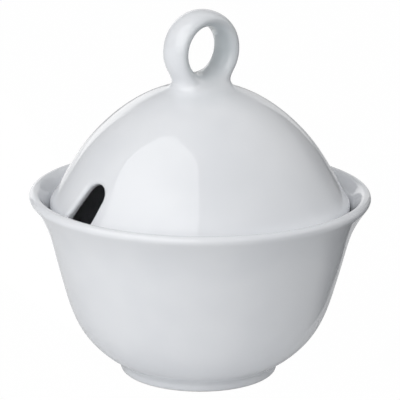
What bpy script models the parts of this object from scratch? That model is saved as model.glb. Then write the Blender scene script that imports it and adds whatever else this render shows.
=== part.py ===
"""Sugar bowl of white glazed porcelain: a bowl on a low foot ring, and a domed lid that sits down inside the
bowl's flared lip. The lid has a notch for a spoon cut up from its edge, and a ring handle luted on its crown.

Frame: metres, +Z up, origin at the centre of the foot ring's flat underside. The spoon notch faces -X, and
the ring handle stands in the XZ plane, so that its hole runs along Y. Every piece's origin is on the common
axis Z, along which the lid lifts off.
"""

import math

import bmesh
import bpy
import numpy as np

MM = 0.001

# Bowl
LIP_RADIUS = 56.0 * MM  # outermost point of the lip
LIP_HEIGHT = 59.5 * MM  # centre of the lip's rounded edge
LIP_THICKNESS = 3.4 * MM  # the same as the wall's
LIP_FLARE = math.radians(37.5)  # lean of the wall, from upright, where it runs into the lip
BELLY = ((49.0, 50.2), (40.0, 47.6), (30.0, 44.9), (21.0, 42.0), (14.0, 38.25), (9.0, 33.8), (5.5, 29.3))
FOOT_RADIUS = 25.95 * MM
FOOT_HEIGHT = 3.0 * MM
FOOT_THICKNESS = 4.2 * MM
FOOT_ROUNDING = 1.2 * MM
FLOOR_HEIGHT = 5.4 * MM  # inside, on the axis
WALL_FOOT = 11.0 * MM  # height at which the inside leaves the wall and runs out into the floor
RECESS_HEIGHT = 2.4 * MM  # under the floor, inside the foot ring

# Lid
CROWN_HEIGHT = 97.0 * MM
DOME = ((93.5, 16.5), (83.0, 31.7), (76.0, 37.9), (69.0, 42.5), (63.0, 46.0), (59.8, 47.9))
LID_WALL = 2.6 * MM
EDGE_RADIUS = 49.15 * MM  # outermost point of the lid's edge
EDGE_THICKNESS = 2.9 * MM
EDGE_TOP = 57.3 * MM  # where the edge's outer side starts, upright
EDGE_CENTRE = 55.6 * MM  # centre of the edge's rounding, above its seat in the lip
NOTCH_TOP_RADIUS = 4.6 * MM
NOTCH_LENGTH = 15.0 * MM  # along the dome, from the top of the lid's edge to the top of the notch
NOTCH_TAPER = math.radians(7.6)  # it widens towards the lid's edge, by this much on each side
NOTCH_SLOPE = math.radians(25)  # it is cut square to the dome, whose side leans in by this much
NOTCH_LEAN = math.radians(13.8)  # cut by hand: its top leans towards -Y
NOTCH_OFFSET = 1.7 * MM  # and its middle starts this far to +Y

# Ring handle
RING_CENTRE = 108.0 * MM
RING_RADIUS = 10.45 * MM  # to the middle of the section
RING_HALF_THICKNESS = 2.75 * MM  # of the oval section, along the radius
RING_HALF_DEPTH = 5.6 * MM  # of the oval section, along Y
NECK_WAIST = 10.4 * MM  # half its width along X where it is narrowest
NECK_WAIST_HEIGHT = 98.0 * MM
NECK_FLARE = 2.3 * MM  # radius of its hollow flare down to the dome
NECK_TOP = 99.3 * MM  # inside the ring's lowest stretch
NECK_TOP_RADIUS = 6.0 * MM
NECK_DEPTH_RATIO = 0.66  # its size along Y over its size along X
LUTING_GAP = 0.3 * MM  # between the neck and the dome

TURNS = 56  # facets round a turned piece
DOME_POINTS = 22
NECK_TURNS = 36
RING_TURNS = 36  # facets round the ring
SECTION_POINTS = 16  # facets round its section


def clear_scene():
    for old in list(bpy.data.objects):
        bpy.data.objects.remove(old, do_unlink=True)


def porcelain(name, colour, roughness):
    material = bpy.data.materials.new(name)
    material.use_nodes = True
    shader = material.node_tree.nodes["Principled BSDF"]
    shader.inputs["Base Color"].default_value = (*colour, 1.0)
    shader.inputs["Roughness"].default_value = roughness
    shader.inputs["Metallic"].default_value = 0.0
    shader.inputs["Coat Weight"].default_value = 0.3
    return material


def direction(angle):
    return np.array((math.cos(angle), math.sin(angle)))


def arc(centre, radius, start, end, count):
    """Points (radius, height) on an arc. Angles run from the outward direction towards +Z."""
    return [np.array(centre) + radius * direction(angle) for angle in np.linspace(start, end, count)]


def smooth_curve(stations, start_direction, end_direction, count):
    """Points along the cubic spline through the stations, with the given unit directions at its ends."""
    knots = np.array(stations, float)
    spans = np.linalg.norm(np.diff(knots, axis=0), axis=1)
    along = np.concatenate(([0.0], np.cumsum(spans)))
    slopes = np.diff(knots, axis=0) / spans[:, None]
    slopes = np.vstack((start_direction, slopes, end_direction))
    size = len(knots)
    system = np.zeros((size, size))
    for i in range(size):
        if i > 0:
            system[i, i - 1] = spans[i - 1]
            system[i, i] += 2 * spans[i - 1]
        if i < size - 1:
            system[i, i + 1] = spans[i]
            system[i, i] += 2 * spans[i]
    bends = np.linalg.solve(system, 6 * np.diff(slopes, axis=0))
    points = []
    for s in np.linspace(0.0, along[-1], count):
        i = min(int(np.searchsorted(along, s, side="right")) - 1, size - 2)
        left, right, span = along[i + 1] - s, s - along[i], spans[i]
        points.append(
            (bends[i] * left**3 + bends[i + 1] * right**3) / (6 * span)
            + (knots[i] / span - bends[i] * span / 6) * left
            + (knots[i + 1] / span - bends[i + 1] * span / 6) * right
        )
    return points


def heading(curve):
    """The direction in which the curve ends."""
    last = curve[-1] - curve[-2]
    return last / np.linalg.norm(last)


def set_back(curve, distance):
    """The curve moved sideways by the distance, to the right of its own direction."""
    tangents = np.gradient(np.array(curve), axis=0)
    tangents /= np.linalg.norm(tangents, axis=1)[:, None]
    return [point + distance * np.array((t[1], -t[0])) for point, t in zip(curve, tangents)]


def stations_in_metres(heights_and_radii):
    return [(radius * MM, height * MM) for height, radius in heights_and_radii]


def bowl_outline():
    """(radius, height) from the middle of the floor, up the inside, over the lip, and down the outside."""
    half = LIP_THICKNESS / 2
    lip_centre = (LIP_RADIUS - half, LIP_HEIGHT)
    wall_top = np.array(lip_centre) + half * direction(-LIP_FLARE)
    down = -direction(math.pi / 2 - LIP_FLARE)
    foot_joint = (FOOT_RADIUS + 0.6 * MM, FOOT_HEIGHT + 0.9 * MM)
    outside = smooth_curve([wall_top, *stations_in_metres(BELLY), foot_joint], down, (-0.87, -0.5), 18)
    inside = [point for point in set_back(outside, LIP_THICKNESS) if point[1] > WALL_FOOT]
    floor = smooth_curve([inside[-1], (0.0, FLOOR_HEIGHT)], heading(inside), (-1, 0), 8)
    lip = arc(lip_centre, half, math.pi - LIP_FLARE, math.pi / 2, 3)[1:]
    lip += arc(lip_centre, half, math.pi / 2, 0, 4)[1:]
    foot_inside = FOOT_RADIUS - FOOT_THICKNESS
    foot = [
        (FOOT_RADIUS, FOOT_HEIGHT),
        *arc((FOOT_RADIUS - FOOT_ROUNDING, FOOT_ROUNDING), FOOT_ROUNDING, 0, -math.pi / 2, 4),
        (foot_inside + 0.5 * MM, 0.0),
        (foot_inside, 0.5 * MM),
        (foot_inside - 1.0 * MM, RECESS_HEIGHT - 0.4 * MM),
        (foot_inside - 2.0 * MM, RECESS_HEIGHT),
        (0.0, RECESS_HEIGHT),
    ]
    return [*reversed(floor), *reversed(inside[:-1]), *lip, *outside, *foot]


def dome_curve(count):
    """The lid's outside, from its crown down to the top of its rounded edge."""
    stations = [(0.0, CROWN_HEIGHT), *stations_in_metres(DOME), (EDGE_RADIUS, EDGE_TOP)]
    return smooth_curve(stations, (1, 0), (0, -1), count)


def lid_outline():
    """(radius, height) from the crown down the outside, round the edge, and up the inside to its middle."""
    outside = dome_curve(DOME_POINTS)
    half = EDGE_THICKNESS / 2
    edge = arc((EDGE_RADIUS - half, EDGE_CENTRE), half, 0, -math.pi, 7)
    wall = [point for point in set_back(outside, LID_WALL)[1:] if point[1] > EDGE_TOP + LID_WALL]
    inner_edge = (EDGE_RADIUS - EDGE_THICKNESS, EDGE_CENTRE)
    run_out = smooth_curve([wall[-1], inner_edge], heading(wall), (0, -1), 5)
    return [*outside, *edge, *reversed(run_out[1:-1]), *reversed(wall), (0.0, CROWN_HEIGHT - LID_WALL)]


def mesh_object(name, shape):
    """The bmesh made into an object of that name."""
    mesh = bpy.data.meshes.new(name)
    shape.to_mesh(mesh)
    shape.free()
    piece = bpy.data.objects.new(name, mesh)
    bpy.context.collection.objects.link(piece)
    return piece


def turned(name, points, steps=TURNS):
    """A solid of revolution about Z. Its outline starts and ends on the axis."""
    outline = bmesh.new()
    verts = [outline.verts.new((radius, 0.0, height)) for radius, height in points]
    for start, end in zip(verts, verts[1:]):
        outline.edges.new((start, end))
    piece = mesh_object(name, outline)
    screw = piece.modifiers.new("Turn", "SCREW")
    screw.angle = math.tau
    screw.steps = steps
    screw.render_steps = steps
    screw.use_merge_vertices = True
    screw.merge_threshold = 0.00001
    screw.use_smooth_shade = True
    return piece


def applied(piece):
    """The piece with its modifiers made into plain mesh."""
    graph = bpy.context.evaluated_depsgraph_get()
    mesh = bpy.data.meshes.new_from_object(piece.evaluated_get(graph))
    piece.modifiers.clear()
    piece.data = mesh
    return piece


def make_cutter(piece):
    piece.hide_render = True
    piece.display_type = "WIRE"


def boolean(piece, other, operation):
    modifier = piece.modifiers.new(other.name, "BOOLEAN")
    modifier.operation = operation
    modifier.object = other
    make_cutter(other)


def notch_cutter():
    """A slab with a round top, square to the dome's side, through the wall and the edge on the -X side."""
    centre = (0.0, NOTCH_LENGTH - NOTCH_TOP_RADIUS)
    top = arc(centre, NOTCH_TOP_RADIUS, NOTCH_TAPER, math.pi - NOTCH_TAPER, 13)
    low = -3 * EDGE_THICKNESS
    foot = top[0][0] + (top[0][1] - low) * math.tan(NOTCH_TAPER)
    outline = [(foot, low), *top, (-foot, low)]
    shape = bmesh.new()
    face = shape.faces.new([shape.verts.new((4 * LID_WALL, y, z)) for y, z in outline])
    grown = bmesh.ops.extrude_face_region(shape, geom=[face])["geom"]
    far_side = [part for part in grown if isinstance(part, bmesh.types.BMVert)]
    bmesh.ops.translate(shape, verts=far_side, vec=(-8 * LID_WALL, 0.0, 0.0))
    bmesh.ops.recalc_face_normals(shape, faces=shape.faces)
    cutter = mesh_object("notch_cutter", shape)
    cutter.location = (-EDGE_RADIUS, NOTCH_OFFSET, EDGE_TOP)
    cutter.rotation_euler = (NOTCH_LEAN, NOTCH_SLOPE, 0.0)
    return cutter


def make_bowl(material):
    bowl = turned("bowl", bowl_outline())
    bowl.data.materials.append(material)
    return bowl


def make_lid(material):
    lid = applied(turned("lid", lid_outline()))
    boolean(lid, notch_cutter(), "DIFFERENCE")
    lid.data.materials.clear()
    lid.data.materials.append(material)
    return lid


def dome_block():
    """The dome's outside as a solid, grown by the luting gap, to shape the neck's underside."""
    outside = set_back(dome_curve(DOME_POINTS), -LUTING_GAP)
    points = [(0.0, CROWN_HEIGHT + LUTING_GAP), *outside[1:-6]]
    points.append((0.0, points[-1][1]))
    return turned("dome_block", points)


def neck():
    """A short pillar with a hollow flare down to the dome, oval in plan."""
    foot = NECK_WAIST + NECK_FLARE
    hollow = arc((foot, NECK_WAIST_HEIGHT), NECK_FLARE, math.pi, 1.5 * math.pi, 6)
    bottom = NECK_WAIST_HEIGHT - 2 * NECK_FLARE
    points = [(0.0, NECK_TOP), (NECK_TOP_RADIUS, NECK_TOP), *hollow, (foot, bottom), (0.0, bottom)]
    piece = applied(turned("neck", points, steps=NECK_TURNS))
    for vertex in piece.data.vertices:
        vertex.co.y *= NECK_DEPTH_RATIO
    return piece


def ring(name):
    """A ring of oval section in the XZ plane, round an axis along Y."""
    shape = bmesh.new()
    for turn in np.linspace(0.0, math.tau, RING_TURNS, endpoint=False):
        for angle in np.linspace(0.0, math.tau, SECTION_POINTS, endpoint=False):
            reach = RING_RADIUS + RING_HALF_THICKNESS * math.cos(angle)
            depth = RING_HALF_DEPTH * math.sin(angle)
            shape.verts.new((reach * math.cos(turn), depth, RING_CENTRE + reach * math.sin(turn)))
    verts = list(shape.verts)
    for i in range(RING_TURNS):
        here, there = i * SECTION_POINTS, (i + 1) % RING_TURNS * SECTION_POINTS
        for j in range(SECTION_POINTS):
            k = (j + 1) % SECTION_POINTS
            shape.faces.new((verts[here + j], verts[here + k], verts[there + k], verts[there + j]))
    bmesh.ops.recalc_face_normals(shape, faces=shape.faces)
    piece = mesh_object(name, shape)
    piece.data.shade_smooth()
    return piece


def make_ring_handle(material):
    handle = ring("ring_handle")
    boolean(handle, neck(), "UNION")
    boolean(handle, dome_block(), "DIFFERENCE")
    handle.data.materials.append(material)
    return handle


def main():
    clear_scene()
    glaze = (0.80, 0.81, 0.82)
    make_bowl(porcelain("bowl glaze", glaze, 0.12))
    lid = make_lid(porcelain("lid glaze", glaze, 0.12))
    handle = make_ring_handle(porcelain("ring glaze", glaze, 0.12))
    handle.parent = lid


main()
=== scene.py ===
import math

import bmesh
import bpy
import numpy as np
from mathutils import Matrix, Vector


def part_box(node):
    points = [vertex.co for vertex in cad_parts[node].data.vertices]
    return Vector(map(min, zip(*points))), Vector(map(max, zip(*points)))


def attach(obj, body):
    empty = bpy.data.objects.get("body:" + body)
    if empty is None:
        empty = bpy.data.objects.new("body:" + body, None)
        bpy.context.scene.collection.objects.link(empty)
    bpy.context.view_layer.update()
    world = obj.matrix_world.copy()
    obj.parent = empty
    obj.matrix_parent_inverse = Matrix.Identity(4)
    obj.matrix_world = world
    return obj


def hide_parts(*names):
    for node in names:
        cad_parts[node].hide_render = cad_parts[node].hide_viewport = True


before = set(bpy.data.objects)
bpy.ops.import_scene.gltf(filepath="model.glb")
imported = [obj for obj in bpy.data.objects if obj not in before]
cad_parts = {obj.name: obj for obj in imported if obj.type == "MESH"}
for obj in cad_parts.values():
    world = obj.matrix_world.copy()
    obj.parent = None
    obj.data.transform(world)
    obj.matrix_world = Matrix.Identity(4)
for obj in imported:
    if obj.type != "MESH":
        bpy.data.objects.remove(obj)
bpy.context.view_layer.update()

MM = 0.001

# Bowl: the same outline as its CAD node's, made with finer steps, softer corners and a fillet over the foot
LIP_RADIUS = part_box("bowl")[1].x
LIP_HEIGHT = 59.5 * MM  # centre of the lip's rounded edge
LIP_THICKNESS = 3.4 * MM  # the same as the wall's
LIP_FLARE = math.radians(37.5)  # lean of the wall, from upright, where it runs into the lip
BELLY = ((49.0, 50.2), (40.0, 47.6), (30.0, 44.9), (21.0, 42.0), (14.0, 38.25), (9.0, 33.8), (5.5, 29.3))
FOOT_RADIUS = 25.95 * MM
FOOT_HEIGHT = 3.0 * MM
FOOT_THICKNESS = 4.2 * MM
FOOT_ROUNDING = 1.2 * MM
FOOT_FILLET = 2.0 * MM  # in the hollow where the belly runs into the foot
BELLY_END = (FOOT_RADIUS + 0.6 * MM, FOOT_HEIGHT + 0.9 * MM)
BELLY_END_DIRECTION = (-0.87, -0.5)
FLOOR_HEIGHT = 5.4 * MM  # inside, on the axis
WALL_FOOT = 11.0 * MM  # height at which the inside leaves the wall and runs out into the floor
FOOT_CHAMFER = 0.5 * MM  # inside the standing edge
RECESS_HEIGHT = 2.4 * MM  # under the floor, inside the foot ring
RECESS_RUN = 2.0 * MM  # from the foot ring's inner side to the recess's flat roof
RECESS_CURVE = 0.4 * MM  # below the roof, halfway along that run

# Lid
CROWN_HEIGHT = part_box("lid")[1].z
DOME = ((93.5, 16.5), (83.0, 31.7), (76.0, 37.9), (69.0, 42.5), (63.0, 46.0), (59.8, 47.9))
LID_WALL = 2.6 * MM
EDGE_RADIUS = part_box("lid")[1].x
EDGE_THICKNESS = 2.9 * MM
EDGE_TOP = 57.3 * MM  # where the edge's outer side starts, upright
EDGE_CENTRE = 55.6 * MM  # centre of the edge's rounding
NOTCH_TOP_RADIUS = 4.6 * MM
NOTCH_LENGTH = 15.0 * MM  # along the dome, from the top of the lid's edge to the top of the notch
NOTCH_TAPER = math.radians(7.6)  # it widens towards the lid's edge, by this much on each side
NOTCH_SLOPE = math.radians(25)  # it is cut square to the dome, whose side leans in by this much
NOTCH_LEAN = math.radians(13.8)  # cut by hand: its top leans towards -Y
NOTCH_OFFSET = 1.7 * MM  # and its middle starts this far to +Y
NOTCH_OUTER_ROUNDING = 1.9 * MM
NOTCH_INNER_ROUNDING = 0.5 * MM

# Ring handle
RING_CENTRE = 108.0 * MM
RING_HALF_THICKNESS = 2.75 * MM  # of the oval section, along the radius
RING_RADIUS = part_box("ring_handle")[1].x - RING_HALF_THICKNESS  # to the middle of the section
RING_HALF_DEPTH = 5.6 * MM  # of the oval section, along Y
NECK_BLEND = 5.8 * MM  # reach of the smooth blend between ring and dome
BLEND_DEPTH = 0.75 * LID_WALL  # below the crown, where the blend stops
BLEND_FALL = 12.0  # per metre: how fast that level falls with the square of the radius
SEAM_HEIGHT = CROWN_HEIGHT + 0.15 * MM  # the ring handle is luted on here, just above the crown

# Meshes
WALL_POINTS = 300  # along the bowl's and the lid's outsides
FLOOR_POINTS = 100
FILLET_POINTS = 30
EDGE_POINTS = 40  # over the lip, round the lid's edge, and from there up to the lid's wall
LIP_UNDERSIDE_POINTS = 12
FOOT_ROUNDING_POINTS = 16
OUTLINE_STEP = 0.2 * MM
SOFTENING = 12  # passes of smoothing, which round a corner to about half a millimetre
LONGEST_STEP = 2.0 * MM
SHARPEST_TURN = math.radians(7)
TURNS = 200
CELL = 0.7 * MM  # of the surface net
NET_MARGIN = 2.5 * CELL
RELAXING = 4  # rounds of evening out the net's points
PROJECTIONS = 2  # steps onto the surface in each round
TABLE_STEP = 0.15 * MM
TABLE_SKIP = 3  # the lid's table is worked out from every third point of its fine outline
LEAST_STEEPNESS = 1e-6  # keeps the ring's field finite at the middle of its section

# Camera
AZIMUTH = math.radians(-38.2)
ELEVATION = math.radians(15.6)
ROLL = math.radians(0.53)
DISTANCE = 0.846
AIM = Vector((0.0, 0.0, 0.0577))
SENSOR = 36.0
LENS = 232.3

# Studio: azimuths in degrees from the camera's side, positive to its right, and radiances against full white
WHITE = (1.0, 1.0, 1.0, 1.0)
KEY_OUTLINE = (  # azimuth and elevation
    (-2, 18), (-1, 45), (-2, 61), (-6, 68.5), (-18, 73), (-45, 75.5), (-68, 75.5), (-86, 73),
    (-96, 66), (-98, 53), (-97, 45), (-90, 36), (-82, 27), (-76, 18),
)
KEY_MIDDLE = (-50, 45)
KEY_DISTANCE = 1.0
KEY_RADIANCE = 1.52
LOW_LIGHT = (  # azimuth and radiance
    (-180, 0.7), (-168, 1.35), (-153.5, 1.35), (-152.5, 0.25), (-120, 0.2), (-90, 0.1), (-60, 1.2),
    (-30, 1.5), (0, 0.75), (30, 0.0), (90, 0.0), (120, 0.85), (140, 0.15), (159, 0.15), (160, 0.8),
    (180, 0.7),
)
MIDDLE_LIGHT = (
    (-180, 0.25), (-150, 0.3), (-120, 0.0), (-90, 0.0), (-60, 0.4), (-30, 0.95), (0, 0.95), (30, 0.88),
    (60, 1.0), (90, 1.35), (120, 0.85), (150, 0.32), (180, 0.25),
)
HIGH_LIGHT = ((-180, 0.45), (-120, 0.1), (0, 0.0), (60, 0.55), (120, 0.8), (180, 0.45))
TOP_LIGHT = ((-180, 0.3), (180, 0.3))
BAND_EDGES = ((14, 24), (42, 50), (64, 74))  # elevations where one band's light turns into the next one's
BRIGHTEST = 4.0  # radiance that the top of a light curve stands for

# Paper: places on it are in metres, across to the camera's right and back behind the object
FLOOR_RADIUS = 4.0
FLOOR_SIDES = 96
FLOOR_COLOUR = (0.86, 0.865, 0.87, 1.0)
PAPER_GRAIN = 0.4 * MM
PAPER_RELIEF = 0.02 * MM
PAPER_BUMP = 0.3
PAPER_WHITENESS = 0.99  # of the full white that the camera sees, the share that shadows don't touch
FLOOR_SHADE = (0.42, 0.43, 0.435, 1.0)  # in front of the object, to the right
SHADE_ACROSS = (0.01, 0.14)  # where it sets in, and where it is full
SHADE_BACK = (0.03, -0.03)
BACKLIGHT = 0.5  # radiance of the lit patch
BACKLIGHT_NEAR = (0.035, 0.045)  # where its near end sets in, and where it is full
BACKLIGHT_EDGES = ((-0.026, -0.52, 0.004), (0.0, -0.25, 0.008))  # place across, change with depth, blur
# painted shadow of the object, dark, on the paper behind it and to the right
PAINTED_SHADOW_NEAR = (-0.02, 0.03)
PAINTED_SHADOW_EDGES = ((0.055, 0.35, 0.004), (0.052, 2.5, 0.09))  # as above, of a dark painted shadow of the object to the right
PAINTED_SHADOW_COLOUR = (0.02, 0.02, 0.02, 1.0)

# Glaze
GLAZE_PALE = (0.818, 0.833, 0.860, 1.0)
GLAZE_COOL = (0.785, 0.802, 0.833, 1.0)
# pooled glaze with painted shade: the colour that darkens hollows where shade falls
GLAZE_POOLED_AND_SHADED = (0.58, 0.625, 0.645, 1.0)
COLOUR_DRIFT = 26 * MM  # wavelength
COLOUR_CONTRAST = (0.35, 0.65)
POOL_AND_SHADE_DEPTH = 0.12  # share of the pooled colour, pooled glaze and painted shade, in the middle of a hollow
FOOT_POOL_AND_SHADE = (FOOT_HEIGHT + 0.8 * MM, 2.4 * MM)  # height of the hollow with painted shade and pooled glaze, and reach above and below it
NECK_POOL_AND_SHADE = (CROWN_HEIGHT - 1.5 * MM, 3.0 * MM)
HOLE_POOL_AND_SHADE_DEPTH = (0.45, 0.9)  # share in the ring's hole, painted shade with some pooled glaze, at its bottom, and from its middle up
GLAZE_ROUGHNESS = (0.025, 0.04)
GLOSS_DRIFT = 18 * MM  # wavelength
GLOSS_CONTRAST = (0.3, 0.7)
GLAZE_IOR = 1.52
GLAZE_SAG = 0.03 * MM
SAG_WAVELENGTH = 15 * MM
GLAZE_PEEL = 0.0012 * MM
PEEL_WAVELENGTH = 1.3 * MM
BARE_FOOT = 0.4 * MM  # height up to which the foot is bare
BARE_EDGE = 54.85 * MM  # and the lid's edge
WIPE_WANDER = 0.25 * MM  # of the line up to which the glaze is wiped off
WIPE_WAVELENGTH = 6 * MM
WIPE_BLUR = 0.12 * MM
BISCUIT_PALE = (0.80, 0.78, 0.75, 1.0)
BISCUIT_DARK = (0.70, 0.675, 0.64, 1.0)
BISCUIT_ROUGHNESS = 0.85
BISCUIT_GRAIN = 0.03 * MM
GRAIN_WAVELENGTH = 0.35 * MM


def direction(angle):
    return np.array((math.cos(angle), math.sin(angle)))


def arc(centre, radius, start, end, count):
    """Points (radius, height) on an arc. Angles run from the outward direction towards +Z."""
    return [np.array(centre) + radius * direction(angle) for angle in np.linspace(start, end, count)]


def smooth_curve(stations, start_direction, end_direction, count):
    """Points along the cubic spline through the stations, with the given unit directions at its ends."""
    knots = np.array(stations, float)
    spans = np.linalg.norm(np.diff(knots, axis=0), axis=1)
    along = np.concatenate(([0.0], np.cumsum(spans)))
    slopes = np.diff(knots, axis=0) / spans[:, None]
    slopes = np.vstack((start_direction, slopes, end_direction))
    size = len(knots)
    system = np.zeros((size, size))
    for i in range(size):
        if i > 0:
            system[i, i - 1] = spans[i - 1]
            system[i, i] += 2 * spans[i - 1]
        if i < size - 1:
            system[i, i + 1] = spans[i]
            system[i, i] += 2 * spans[i]
    bends = np.linalg.solve(system, 6 * np.diff(slopes, axis=0))
    points = []
    for s in np.linspace(0.0, along[-1], count):
        i = min(int(np.searchsorted(along, s, side="right")) - 1, size - 2)
        left, right, span = along[i + 1] - s, s - along[i], spans[i]
        points.append(
            (bends[i] * left**3 + bends[i + 1] * right**3) / (6 * span)
            + (knots[i] / span - bends[i] * span / 6) * left
            + (knots[i + 1] / span - bends[i + 1] * span / 6) * right
        )
    return points


def heading(curve):
    """The direction in which the curve ends."""
    last = curve[-1] - curve[-2]
    return last / np.linalg.norm(last)


def set_back(curve, distance):
    """The curve moved sideways by the distance, to the right of its own direction."""
    tangents = np.gradient(np.array(curve), axis=0)
    tangents /= np.linalg.norm(tangents, axis=1)[:, None]
    return [point + distance * np.array((t[1], -t[0])) for point, t in zip(curve, tangents)]


def stations_in_metres(heights_and_radii):
    return [(radius * MM, height * MM) for height, radius in heights_and_radii]


def softened(points):
    """The outline at even small steps, with its corners rounded as glaze rounds them."""
    points = np.array(points)
    along = np.concatenate(([0.0], np.cumsum(np.linalg.norm(np.diff(points, axis=0), axis=1))))
    stations = np.linspace(0.0, along[-1], round(along[-1] / OUTLINE_STEP) + 1)
    fine = np.column_stack([np.interp(stations, along, points[:, i]) for i in (0, 1)])
    for _ in range(SOFTENING):
        fine[1:-1] = (fine[:-2] + 2 * fine[1:-1] + fine[2:]) / 4
    return fine


def bowl_outline():
    """(radius, height) from the middle of the floor, up the inside, over the lip, and down the outside."""
    half = LIP_THICKNESS / 2
    lip_centre = (LIP_RADIUS - half, LIP_HEIGHT)
    wall_top = np.array(lip_centre) + half * direction(-LIP_FLARE)
    down = -direction(math.pi / 2 - LIP_FLARE)
    stations = [wall_top, *stations_in_metres(BELLY), BELLY_END]
    outside = smooth_curve(stations, down, BELLY_END_DIRECTION, WALL_POINTS)
    inside = [point for point in set_back(outside, LIP_THICKNESS) if point[1] > WALL_FOOT]
    floor = smooth_curve([inside[-1], (0.0, FLOOR_HEIGHT)], heading(inside), (-1, 0), FLOOR_POINTS)
    outside = [point for point in outside if math.dist(point, BELLY_END) > FOOT_FILLET]
    fillet_end = (FOOT_RADIUS, FOOT_HEIGHT - FOOT_FILLET / 2)
    outside += smooth_curve([outside[-1], fillet_end], heading(outside), (0, -1), FILLET_POINTS)[1:]
    lip = arc(lip_centre, half, math.pi - LIP_FLARE, 0, EDGE_POINTS)
    lip += arc(lip_centre, half, 0, -LIP_FLARE, LIP_UNDERSIDE_POINTS)[1:]
    foot_inside = FOOT_RADIUS - FOOT_THICKNESS
    rounding_centre = (FOOT_RADIUS - FOOT_ROUNDING, FOOT_ROUNDING)
    foot = [
        *arc(rounding_centre, FOOT_ROUNDING, 0, -math.pi / 2, FOOT_ROUNDING_POINTS),
        (foot_inside + FOOT_CHAMFER, 0.0),
        (foot_inside, FOOT_CHAMFER),
        (foot_inside - RECESS_RUN / 2, RECESS_HEIGHT - RECESS_CURVE),
        (foot_inside - RECESS_RUN, RECESS_HEIGHT),
        (0.0, RECESS_HEIGHT),
    ]
    return softened([*reversed(floor), *reversed(inside[:-1]), *lip[1:], *outside[1:], *foot])


def lid_outline():
    """(radius, height) from the crown down the outside, round the edge, and up the inside to its middle."""
    stations = [(0.0, CROWN_HEIGHT), *stations_in_metres(DOME), (EDGE_RADIUS, EDGE_TOP)]
    outside = smooth_curve(stations, (1, 0), (0, -1), WALL_POINTS)
    half = EDGE_THICKNESS / 2
    edge = arc((EDGE_RADIUS - half, EDGE_CENTRE), half, 0, -math.pi, EDGE_POINTS)
    wall = [point for point in set_back(outside, LID_WALL) if point[1] > EDGE_TOP + LID_WALL]
    inner_edge = (EDGE_RADIUS - EDGE_THICKNESS, EDGE_CENTRE)
    run_out = smooth_curve([wall[-1], inner_edge], heading(wall), (0, -1), EDGE_POINTS)
    return softened([*outside, *edge, *reversed(run_out[1:-1]), *reversed(wall)])


def thinned(outline):
    """The points that the outline's shape needs, and its outward normals there."""
    steps = np.diff(outline, axis=0)
    turn = np.abs(np.diff(np.unwrap(np.arctan2(steps[:, 1], steps[:, 0]))))
    need = np.linalg.norm(steps, axis=1) / LONGEST_STEP
    need[1:] += turn / SHARPEST_TURN
    need = np.concatenate(([0.0], np.cumsum(need)))
    kept = np.unique(np.searchsorted(need, np.linspace(0.0, need[-1], math.ceil(need[-1]) + 1)))
    kept = kept[kept < len(outline)]
    kept[-1] = len(outline) - 1
    tangents = np.gradient(outline, axis=0)
    tangents /= np.linalg.norm(tangents, axis=1)[:, None]
    tangents[[0, -1]] = ((1, 0), (-1, 0))
    return outline[kept], np.column_stack((-tangents[:, 1], tangents[:, 0]))[kept]


def new_piece(name, mesh, normals):
    """An object with smooth shading that follows the given normal at each corner of its faces."""
    mesh.shade_smooth()
    mesh.normals_split_custom_set([tuple(normal) for normal in normals])
    piece = bpy.data.objects.new(name, mesh)
    bpy.context.scene.collection.objects.link(piece)
    return piece


def corner_vertices(mesh):
    corners = np.empty(len(mesh.loops), np.int32)
    mesh.loops.foreach_get("vertex_index", corners)
    return corners


def turned(name, outline):
    """The outline, which starts and ends on the axis, turned about Z."""
    points, normals = thinned(outline)
    angles = np.linspace(0.0, math.tau, TURNS, endpoint=False)
    around = np.column_stack((np.cos(angles), np.sin(angles)))

    def ring(radius, height):
        return np.column_stack((radius * around, np.full(TURNS, height)))

    places = [(0.0, 0.0, points[0][1]), *np.vstack([ring(*point) for point in points[1:-1]])]
    places.append((0.0, 0.0, points[-1][1]))
    facing = [(0.0, 0.0, 1.0), *np.vstack([ring(*normal) for normal in normals[1:-1]]), (0.0, 0.0, -1.0)]
    rings = len(points) - 2
    last = len(places) - 1
    faces = []
    for j in range(TURNS):
        k = (j + 1) % TURNS
        faces.append((0, 1 + j, 1 + k))
        faces.append((last, last - TURNS + k, last - TURNS + j))
        for i in range(rings - 1):
            here, there = 1 + i * TURNS, 1 + (i + 1) * TURNS
            faces.append((here + j, there + j, there + k, here + k))
    mesh = bpy.data.meshes.new(name)
    mesh.from_pydata(places, [], faces)
    mesh.update()
    return new_piece(name, mesh, np.array(facing)[corner_vertices(mesh)])


def signed_distance(points, outline):
    """Distance from each (radius, height) to the outline, negative where the material is."""
    nearest = np.full(len(points), np.inf)
    sides = np.zeros(len(points))
    for start, step in zip(outline[:-1], np.diff(outline, axis=0)):
        offset = points - start
        share = np.clip(offset @ step / (step @ step), 0.0, 1.0)
        distance = np.hypot(*(offset - share[:, None] * step).T)
        side = step[0] * offset[:, 1] - step[1] * offset[:, 0]
        closer = distance < nearest
        nearest[closer] = distance[closer]
        sides[closer] = side[closer]
    return np.copysign(nearest, sides)


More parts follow.
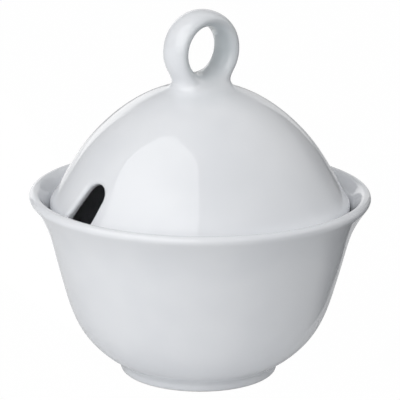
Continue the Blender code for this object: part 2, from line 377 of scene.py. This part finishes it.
class TurnedField:
    """Signed distance to an outline turned about Z, read off a fine table of (radius, height)."""

    def __init__(self, outline):
        margin = NECK_BLEND + MM
        self.low = np.array((0.0, outline[:, 1].min() - margin))
        high = outline.max(axis=0) + margin
        self.size = np.ceil((high - self.low) / TABLE_STEP).astype(int) + 1
        radii, heights = [self.low[i] + TABLE_STEP * np.arange(self.size[i]) for i in (0, 1)]
        grid = np.stack(np.meshgrid(radii, heights, indexing="ij"), axis=-1).reshape(-1, 2)
        self.table = signed_distance(grid, outline).reshape(self.size)

    def __call__(self, points):
        flat = np.column_stack((np.hypot(points[:, 0], points[:, 1]), points[:, 2]))
        last = self.size - 1.001  # just inside the table's last cell
        place = np.clip((flat - self.low) / TABLE_STEP, 0.0, last)
        i, j = place.astype(int).T
        s, t = (place - np.floor(place)).T
        below = self.table[i, j] * (1 - s) + self.table[i + 1, j] * s
        above = self.table[i, j + 1] * (1 - s) + self.table[i + 1, j + 1] * s
        return below * (1 - t) + above * t


def ring_field(points):
    """Signed distance to the ring of oval section, near enough."""
    across = np.hypot(points[:, 0], points[:, 2] - RING_CENTRE) - RING_RADIUS
    depth = points[:, 1]
    size = np.hypot(across / RING_HALF_THICKNESS, depth / RING_HALF_DEPTH)
    steepness = np.hypot(across / RING_HALF_THICKNESS**2, depth / RING_HALF_DEPTH**2)
    return size * (size - 1) / np.maximum(steepness, LEAST_STEEPNESS)


def notch_field(points):
    """Signed distance to the slab that cuts the spoon notch, negative inside it."""
    placed = Matrix.Translation((-EDGE_RADIUS, NOTCH_OFFSET, EDGE_TOP))
    placed = placed @ Matrix.Rotation(NOTCH_SLOPE, 4, "Y") @ Matrix.Rotation(NOTCH_LEAN, 4, "X")
    inverse = np.array(placed.inverted())
    local = points @ inverse[:3, :3].T + inverse[:3, 3]
    side, rise = np.abs(local[:, 1]), local[:, 2] - (NOTCH_LENGTH - NOTCH_TOP_RADIUS)
    lean, upright = math.sin(NOTCH_TAPER), math.cos(NOTCH_TAPER)
    straight = side * upright + rise * lean - NOTCH_TOP_RADIUS
    round_top = np.hypot(side, rise) - NOTCH_TOP_RADIUS
    distance = np.where(side * lean - rise * upright > 0, straight, round_top)
    return np.where(points[:, 0] < -EDGE_RADIUS / 2, distance, EDGE_RADIUS)


def lid_field(wall, skin, points):
    """Signed distance to the lid with its ring: blended at the neck, and rounded along the notch's edges."""
    dome = wall(points)
    ring = ring_field(points)
    overlap = np.maximum(NECK_BLEND - np.abs(dome - ring), 0.0)
    fall = np.hypot(points[:, 0], points[:, 1]) ** 2 * BLEND_FALL
    outside = points[:, 2] > CROWN_HEIGHT - BLEND_DEPTH - fall
    blended = np.minimum(dome, ring) - np.where(outside, overlap**2 / (4 * NECK_BLEND), 0.0)
    notch = -notch_field(points)
    edge = np.interp(-skin(points), (0.0, LID_WALL), (NOTCH_OUTER_ROUNDING, NOTCH_INNER_ROUNDING))
    corner = np.hypot(np.maximum(blended + edge, 0.0), np.maximum(notch + edge, 0.0))
    return np.minimum(np.maximum(blended, notch), -edge) + corner


def gradient(field, points, step=0.1 * MM):
    """The field's direction of increase at each point, as unit vectors."""
    slopes = [field(points + step * axis) - field(points - step * axis) for axis in np.eye(3)]
    slopes = np.column_stack(slopes)
    return slopes / np.linalg.norm(slopes, axis=1)[:, None]


def surface_net(field, low, high):
    """Points and quads of a surface net round the field's negative region."""
    counts = np.ceil((np.array(high) - low) / CELL).astype(int) + 1
    axes = [low[i] + CELL * np.arange(counts[i]) for i in range(3)]
    inside = np.empty(counts, bool)
    for k, height in enumerate(axes[2]):
        level = np.stack(np.meshgrid(axes[0], axes[1], indexing="ij"), axis=-1).reshape(-1, 2)
        level = np.column_stack((level, np.full(len(level), height)))
        inside[:, :, k] = (field(level) < 0).reshape(counts[:2])
    corners = sum(
        inside[i : counts[0] - 1 + i, j : counts[1] - 1 + j, k : counts[2] - 1 + k].astype(np.int8)
        for i in (0, 1)
        for j in (0, 1)
        for k in (0, 1)
    )
    crossed = (corners > 0) & (corners < 8)
    index = np.full(crossed.shape, -1)
    index[crossed] = np.arange(crossed.sum())
    points = np.array(low) + CELL * (np.argwhere(crossed) + 0.5)
    quads = []
    for axis in range(3):
        first = np.take(inside, np.arange(counts[axis] - 1), axis)
        second = np.take(inside, np.arange(1, counts[axis]), axis)
        places = np.argwhere(first != second)
        leaving = first[tuple(places.T)]
        u, v = np.eye(3, dtype=int)[(axis + 1) % 3], np.eye(3, dtype=int)[(axis + 2) % 3]
        quad = np.column_stack([index[tuple((places - step).T)] for step in (0 * u, u, u + v, v)])
        quad[~leaving] = quad[~leaving][:, ::-1]
        quads.append(quad)
    return points, np.vstack(quads)


def relaxed(field, points, quads):
    """The points moved onto the surface, and evened out along it."""
    links = np.vstack([quads[:, [i, (i + 1) % 4]] for i in range(4)])
    count = np.bincount(links[:, 0], minlength=len(points))
    for turn in range(RELAXING):
        if turn:
            sums = [np.bincount(links[:, 0], points[links[:, 1], i], len(points)) for i in range(3)]
            points = (points + np.column_stack(sums) / count[:, None]) / 2
        for _ in range(PROJECTIONS):
            points = points - field(points)[:, None] * gradient(field, points)
    return points


def cut_at(shape, height, upper):
    """The part of the shape above or below the height, closed with a flat face there."""
    part = shape.copy()
    plane = bmesh.ops.bisect_plane(
        part,
        geom=[*part.verts, *part.edges, *part.faces],
        dist=1e-7,
        plane_co=(0.0, 0.0, height),
        plane_no=(0.0, 0.0, 1.0),
        clear_inner=upper,
        clear_outer=not upper,
    )
    rim = [edge for edge in plane["geom_cut"] if isinstance(edge, bmesh.types.BMEdge)]
    for face in bmesh.ops.contextual_create(part, geom=rim)["faces"]:
        face.material_index = 1
    return part


def make_lid_and_ring():
    """The lid and its ring handle, glazed as one blended form and parted at the luted joint."""
    outline = lid_outline()[::TABLE_SKIP]
    wall = TurnedField(outline)
    skin = TurnedField(outline[: outline[:, 1].argmin() + 1])

    def field(points):
        return lid_field(wall, skin, points)

    reach = EDGE_RADIUS + NET_MARGIN
    low = (-reach, -reach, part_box("lid")[0].z - NET_MARGIN)
    high = (reach, reach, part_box("ring_handle")[1].z + NET_MARGIN)
    points, quads = surface_net(field, low, high)
    points = relaxed(field, points, quads)
    whole = bpy.data.meshes.new("lid and ring")
    whole.from_pydata(points, [], quads.tolist())
    shape = bmesh.new()
    shape.from_mesh(whole)
    pieces = []
    for name, upper in (("glazed_lid", False), ("glazed_ring_handle", True)):
        part = cut_at(shape, SEAM_HEIGHT, upper)
        mesh = bpy.data.meshes.new(name)
        part.to_mesh(mesh)
        part.free()
        places = np.array([vertex.co for vertex in mesh.vertices])
        normals = gradient(field, places)[corner_vertices(mesh)]
        for face in mesh.polygons:
            if face.material_index:
                normals[list(face.loop_indices)] = face.normal
                face.material_index = 0
        pieces.append(new_piece(name, mesh, normals))
    shape.free()
    return pieces


def make_camera():
    """A long lens, a little above the lip, with the spoon notch to its left."""
    flat = math.cos(ELEVATION)
    back = Vector((math.sin(AZIMUTH) * flat, -math.cos(AZIMUTH) * flat, math.sin(ELEVATION)))
    right = Vector((math.cos(AZIMUTH), math.sin(AZIMUTH), 0.0))
    data = bpy.data.cameras.new("camera")
    data.sensor_width = SENSOR
    data.lens = LENS
    camera = bpy.data.objects.new("camera", data)
    turned_to = Matrix((right, back.cross(right), back)).transposed().to_4x4()
    placed = Matrix.Translation(AIM + DISTANCE * back) @ turned_to @ Matrix.Rotation(ROLL, 4, "Z")
    camera.matrix_world = placed
    bpy.context.scene.collection.objects.link(camera)
    bpy.context.scene.camera = camera


def studio_direction(azimuth, elevation):
    """A unit vector from angles in degrees. Azimuth 0 is the camera's side, and 90 is to its right."""
    turn = AZIMUTH + math.radians(azimuth)
    flat = math.cos(math.radians(elevation))
    return Vector((math.sin(turn) * flat, -math.cos(turn) * flat, math.sin(math.radians(elevation))))


class Nodes:
    """Adds nodes to a tree, each with its options, its inputs' values and its links in one call.

    An input goes by its name, or by an i and its number.
    """

    def __init__(self, tree):
        self.tree = tree

    def add(self, kind, options=None, **inputs):
        node = self.tree.nodes.new(kind)
        for name, value in (options or {}).items():
            setattr(node, name, value)
        for name, value in inputs.items():
            socket = node.inputs[int(name[1:])] if name[1:].isdigit() else node.inputs[name.replace("_", " ")]
            if isinstance(value, bpy.types.NodeSocket):
                self.tree.links.new(value, socket)
            else:
                socket.default_value = value
        return node

    def math(self, operation, first, second=0.0):
        return self.add("ShaderNodeMath", {"operation": operation}, i0=first, i1=second).outputs[0]

    def ramp(self, value, start, end, low=0.0, high=1.0, smooth=True):
        """The value's place between start and end, as a number from low to high."""
        options = {"interpolation_type": "SMOOTHSTEP" if smooth else "LINEAR"}
        inputs = {"Value": value, "From_Min": start, "From_Max": end, "To_Min": low, "To_Max": high}
        return self.add("ShaderNodeMapRange", options, **inputs).outputs["Result"]

    def noise(self, place, wavelength, detail=1.0):
        """Noise from 0 to 1 whose features are about one wavelength apart."""
        inputs = {"Vector": place, "Scale": 1.0 / wavelength, "Detail": detail}
        return self.add("ShaderNodeTexNoise", **inputs).outputs["Fac"]

    def vector(self, operation, first, second=(0, 0, 0)):
        return self.add("ShaderNodeVectorMath", {"operation": operation}, i0=first, i1=second)

    def dot(self, first, second):
        return self.vector("DOT_PRODUCT", first, second).outputs["Value"]

    def curve(self, azimuth, stations):
        """The radiance at an azimuth, in straight lines between stations of azimuth and radiance."""
        node = self.add("ShaderNodeValToRGB", Fac=azimuth)
        points = node.color_ramp.elements
        while len(points) < len(stations):
            points.new(1.0)
        for point, (angle, radiance) in zip(points, stations):
            point.position = (angle + 180) / 360
            point.color = (*(3 * (radiance / BRIGHTEST,)), 1.0)
        return self.math("MULTIPLY", node.outputs["Color"], BRIGHTEST)

    def blend(self, share, first, second):
        """The first colour turning into the second as the share goes from 0 to 1."""
        return self.add("ShaderNodeMix", {"data_type": "RGBA"}, i0=share, i6=first, i7=second).outputs[2]


def make_world():
    """Light that changes with azimuth, in bands of elevation that run into each other, seen as white."""
    world = bpy.data.worlds.new("studio")
    world.use_nodes = True
    nodes = Nodes(world.node_tree)
    background = world.node_tree.nodes["Background"]
    direction = nodes.add("ShaderNodeTexCoord").outputs["Generated"]
    height = nodes.add("ShaderNodeSeparateXYZ", Vector=direction).outputs["Z"]
    across, forward = (nodes.dot(direction, studio_direction(azimuth, 0)) for azimuth in (90, 0))
    azimuth = nodes.ramp(nodes.math("ARCTAN2", across, forward), -math.pi, math.pi, smooth=False)
    light = nodes.curve(azimuth, LOW_LIGHT)
    for stations, edges in zip((MIDDLE_LIGHT, HIGH_LIGHT, TOP_LIGHT), BAND_EDGES):
        share = nodes.ramp(height, *(math.sin(math.radians(edge)) for edge in edges))
        light = nodes.add("ShaderNodeMix", i0=share, i2=light, i3=nodes.curve(azimuth, stations)).outputs[0]
    camera_ray = nodes.add("ShaderNodeLightPath").outputs["Is Camera Ray"]
    strength = nodes.add("ShaderNodeMix", i0=camera_ray, i2=light, i3=1.0).outputs[0]
    background.inputs["Color"].default_value = WHITE
    world.node_tree.links.new(strength, background.inputs["Strength"])
    bpy.context.scene.world = world


def make_key_light():
    """A softbox with round corners, to the camera's left. The bright window on the lid is its reflection."""
    corners = [KEY_DISTANCE * studio_direction(*angles) for angles in KEY_OUTLINE]
    middle = KEY_DISTANCE * studio_direction(*KEY_MIDDLE)
    last = len(corners)
    mesh = bpy.data.meshes.new("key_softbox")
    mesh.from_pydata([middle, *corners], [], [(0, i, i % last + 1) for i in range(1, last + 1)])
    softbox = bpy.data.objects.new("key_softbox", mesh)
    softbox.visible_camera = False
    bpy.context.scene.collection.objects.link(softbox)
    material = bpy.data.materials.new("softbox cloth")
    material.use_nodes = True
    material.node_tree.nodes.clear()
    nodes = Nodes(material.node_tree)
    clear = nodes.add("ShaderNodeBsdfTransparent").outputs["BSDF"]
    lit = nodes.add("ShaderNodeEmission", Color=WHITE, Strength=KEY_RADIANCE).outputs["Emission"]
    surface = nodes.add("ShaderNodeAddShader", i0=clear, i1=lit).outputs["Shader"]
    nodes.add("ShaderNodeOutputMaterial", Surface=surface)
    mesh.materials.append(material)


def make_floor():
    """Paper with a lit patch, painted shade to the right in front, and a dark painted shadow of the object
    behind it. The camera sees it all nearly white.
    """
    mesh = bpy.data.meshes.new("paper")
    sheet = bmesh.new()
    bmesh.ops.create_circle(sheet, cap_ends=True, segments=FLOOR_SIDES, radius=FLOOR_RADIUS)
    sheet.to_mesh(mesh)
    sheet.free()
    floor = bpy.data.objects.new("paper", mesh)
    bpy.context.scene.collection.objects.link(floor)
    material = bpy.data.materials.new("paper")
    material.use_nodes = True
    material.node_tree.nodes.clear()
    nodes = Nodes(material.node_tree)
    place = nodes.add("ShaderNodeTexCoord").outputs["Object"]
    grain = nodes.noise(place, PAPER_GRAIN, detail=3.0)
    bump = nodes.add("ShaderNodeBump", Strength=PAPER_BUMP, Distance=PAPER_RELIEF, Height=grain)
    across, behind = (nodes.dot(place, studio_direction(azimuth, 0)) for azimuth in (90, 180))

    def patch(edges, near):
        """1 between two lines on the floor that lead away behind the object, and 0 outside them."""
        sides = []
        for offset, growth, blur in edges:
            line = nodes.math("ADD", nodes.math("MULTIPLY", behind, growth), offset)
            sides.append(nodes.ramp(nodes.math("SUBTRACT", across, line), 0.0, blur))
        return nodes.math("MULTIPLY", nodes.math("SUBTRACT", *sides), nodes.ramp(behind, *near))

    shade = nodes.math("MULTIPLY", nodes.ramp(across, *SHADE_ACROSS), nodes.ramp(behind, *SHADE_BACK))
    colour = nodes.blend(shade, FLOOR_COLOUR, FLOOR_SHADE)
    # painted shadow of the object, dark, on the paper behind it and to the right
    colour = nodes.blend(patch(PAINTED_SHADOW_EDGES, PAINTED_SHADOW_NEAR), colour, PAINTED_SHADOW_COLOUR)
    paper = nodes.add("ShaderNodeBsdfDiffuse", Color=colour, Normal=bump.outputs["Normal"]).outputs["BSDF"]
    glow = nodes.math("MULTIPLY", patch(BACKLIGHT_EDGES, BACKLIGHT_NEAR), BACKLIGHT)
    lit = nodes.add("ShaderNodeEmission", Color=WHITE, Strength=glow).outputs["Emission"]
    seen = nodes.add("ShaderNodeEmission", Color=WHITE, Strength=1.0).outputs["Emission"]
    lit_paper = nodes.add("ShaderNodeAddShader", i0=paper, i1=lit).outputs["Shader"]
    camera_ray = nodes.add("ShaderNodeLightPath").outputs["Is Camera Ray"]
    share = nodes.math("MULTIPLY", camera_ray, PAPER_WHITENESS)
    surface = nodes.add("ShaderNodeMixShader", i0=share, i1=lit_paper, i2=seen).outputs["Shader"]
    nodes.add("ShaderNodeOutputMaterial", Surface=surface)
    mesh.materials.append(material)


def glaze(name, bare_below, pool_and_shade_height, pool_and_shade_reach):
    """Clear glaze over white porcelain, with pooled glaze and painted shade in hollows and in the ring's
    hole, and wiped off below a height before firing.
    """
    material = bpy.data.materials.new(name)
    material.use_nodes = True
    nodes = Nodes(material.node_tree)
    shader = material.node_tree.nodes["Principled BSDF"]
    place = nodes.add("ShaderNodeTexCoord").outputs["Object"]
    height = nodes.add("ShaderNodeSeparateXYZ", Vector=place).outputs["Z"]

    drift = nodes.ramp(nodes.noise(place, COLOUR_DRIFT, detail=2.0), *COLOUR_CONTRAST)
    body = nodes.blend(drift, GLAZE_COOL, GLAZE_PALE)
    # painted shade, partly pooled glaze, in the hollow at a height and in the ring's hole
    off = nodes.math("ABSOLUTE", nodes.math("SUBTRACT", height, pool_and_shade_height))
    pooled_and_shaded = nodes.math("MULTIPLY", nodes.ramp(off, pool_and_shade_reach, 0.0), POOL_AND_SHADE_DEPTH)
    from_ring = nodes.vector("SUBTRACT", place, (0, 0, RING_CENTRE))
    flat = nodes.vector("MULTIPLY", from_ring.outputs["Vector"], (1, 0, 1))
    away = nodes.vector("LENGTH", flat.outputs["Vector"]).outputs["Value"]
    sides = (RING_RADIUS + RING_HALF_THICKNESS, RING_RADIUS - RING_HALF_THICKNESS)
    depth = nodes.ramp(height, RING_CENTRE - RING_RADIUS, RING_CENTRE, *HOLE_POOL_AND_SHADE_DEPTH)
    hole_pool_and_shade = nodes.math("MULTIPLY", nodes.ramp(away, *sides, smooth=False), depth)
    pooled_and_shaded = nodes.math("MAXIMUM", pooled_and_shaded, hole_pool_and_shade)
    body = nodes.blend(pooled_and_shaded, body, GLAZE_POOLED_AND_SHADED)
    wander = nodes.math("MULTIPLY", nodes.noise(place, WIPE_WAVELENGTH, detail=2.0), WIPE_WANDER)
    line = nodes.math("SUBTRACT", height, wander)
    bare = nodes.ramp(line, bare_below, bare_below - WIPE_BLUR)
    grain = nodes.noise(place, GRAIN_WAVELENGTH, detail=3.0)
    biscuit = nodes.blend(grain, BISCUIT_DARK, BISCUIT_PALE)
    colour = nodes.blend(bare, body, biscuit)

    gloss = nodes.ramp(nodes.noise(place, GLOSS_DRIFT, detail=3.0), *GLOSS_CONTRAST, *GLAZE_ROUGHNESS)
    roughness = nodes.add("ShaderNodeMix", i0=bare, i2=gloss, i3=BISCUIT_ROUGHNESS).outputs[0]

    sag = nodes.math("MULTIPLY", nodes.noise(place, SAG_WAVELENGTH), GLAZE_SAG)
    peel = nodes.math("MULTIPLY", nodes.noise(place, PEEL_WAVELENGTH, detail=2.0), GLAZE_PEEL)
    rough = nodes.math("MULTIPLY", nodes.math("MULTIPLY", grain, bare), BISCUIT_GRAIN)
    relief = nodes.math("ADD", nodes.math("ADD", sag, peel), rough)
    bump = nodes.add("ShaderNodeBump", Strength=1.0, Distance=1.0, Height=relief)

    links = material.node_tree.links
    links.new(colour, shader.inputs["Base Color"])
    links.new(roughness, shader.inputs["Roughness"])
    links.new(bump.outputs["Normal"], shader.inputs["Normal"])
    shader.inputs["IOR"].default_value = GLAZE_IOR
    return material


make_camera()
make_world()
make_key_light()
make_floor()
bowl = turned("glazed_bowl", bowl_outline())
lid, ring_handle = make_lid_and_ring()
bowl_glaze = glaze("bowl_glaze", BARE_FOOT, *FOOT_POOL_AND_SHADE)
lid_glaze = glaze("lid_glaze", BARE_EDGE, *NECK_POOL_AND_SHADE)
for piece, material, body, node in (
    (bowl, bowl_glaze, "bowl", "bowl"),
    (lid, lid_glaze, "lid", "lid"),
    (ring_handle, lid_glaze, "lid", "ring_handle"),
):
    piece.data.materials.append(material)
    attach(piece, body)
    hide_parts(node)
bpy.context.scene.view_settings.view_transform = "Standard"
